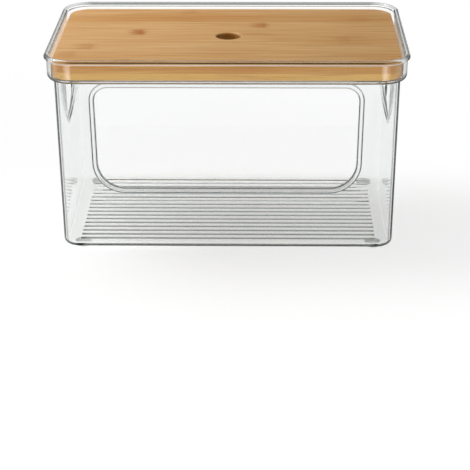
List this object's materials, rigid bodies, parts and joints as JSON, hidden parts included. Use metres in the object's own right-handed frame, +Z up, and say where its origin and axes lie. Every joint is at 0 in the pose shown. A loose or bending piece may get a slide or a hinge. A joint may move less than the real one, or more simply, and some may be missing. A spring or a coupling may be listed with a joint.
{
  "type": "open-front storage bin with lift-off lid",
  "caption": "Clear stackable storage bin with a framed window in its front wall, finger recesses under the rim, a ribbed floor and a drop-in bamboo board lid with a finger hole.",
  "frame": {"origin": "middle of the bin's outline, on the surface the feet stand on", "axes": "+X to the right along the long side, +Y to the back (the window faces -Y), +Z up"},
  "size_m": [0.33, 0.206, 0.186],
  "materials": {
    "clear_plastic": "clear moulded plastic, polished",
    "clear_silicone": "clear soft silicone",
    "bamboo": "natural bamboo, satin oiled"
  },
  "bodies": {
    "bin": {"bin_body": "clear_plastic", "foot_front_left": "clear_silicone", "foot_front_right": "clear_silicone", "foot_back_left": "clear_silicone", "foot_back_right": "clear_silicone"},
    "lid": {"lid_upper_stave_1": "bamboo", "lid_upper_stave_2": "bamboo", "lid_upper_stave_3": "bamboo", "lid_upper_stave_4": "bamboo", "lid_upper_stave_5": "bamboo", "lid_upper_stave_6": "bamboo", "lid_upper_stave_7": "bamboo", "lid_upper_stave_8": "bamboo", "lid_lower_stave_1": "bamboo", "lid_lower_stave_2": "bamboo", "lid_lower_stave_3": "bamboo", "lid_lower_stave_4": "bamboo", "lid_lower_stave_5": "bamboo", "lid_lower_stave_6": "bamboo", "lid_lower_stave_7": "bamboo"}
  },
  "joints": [
    {"name": "lid_lift", "type": "slide", "parent": "bin", "child": "lid", "axis": [0, 0, 1], "range_m": [0, 0.06]}
  ]
}
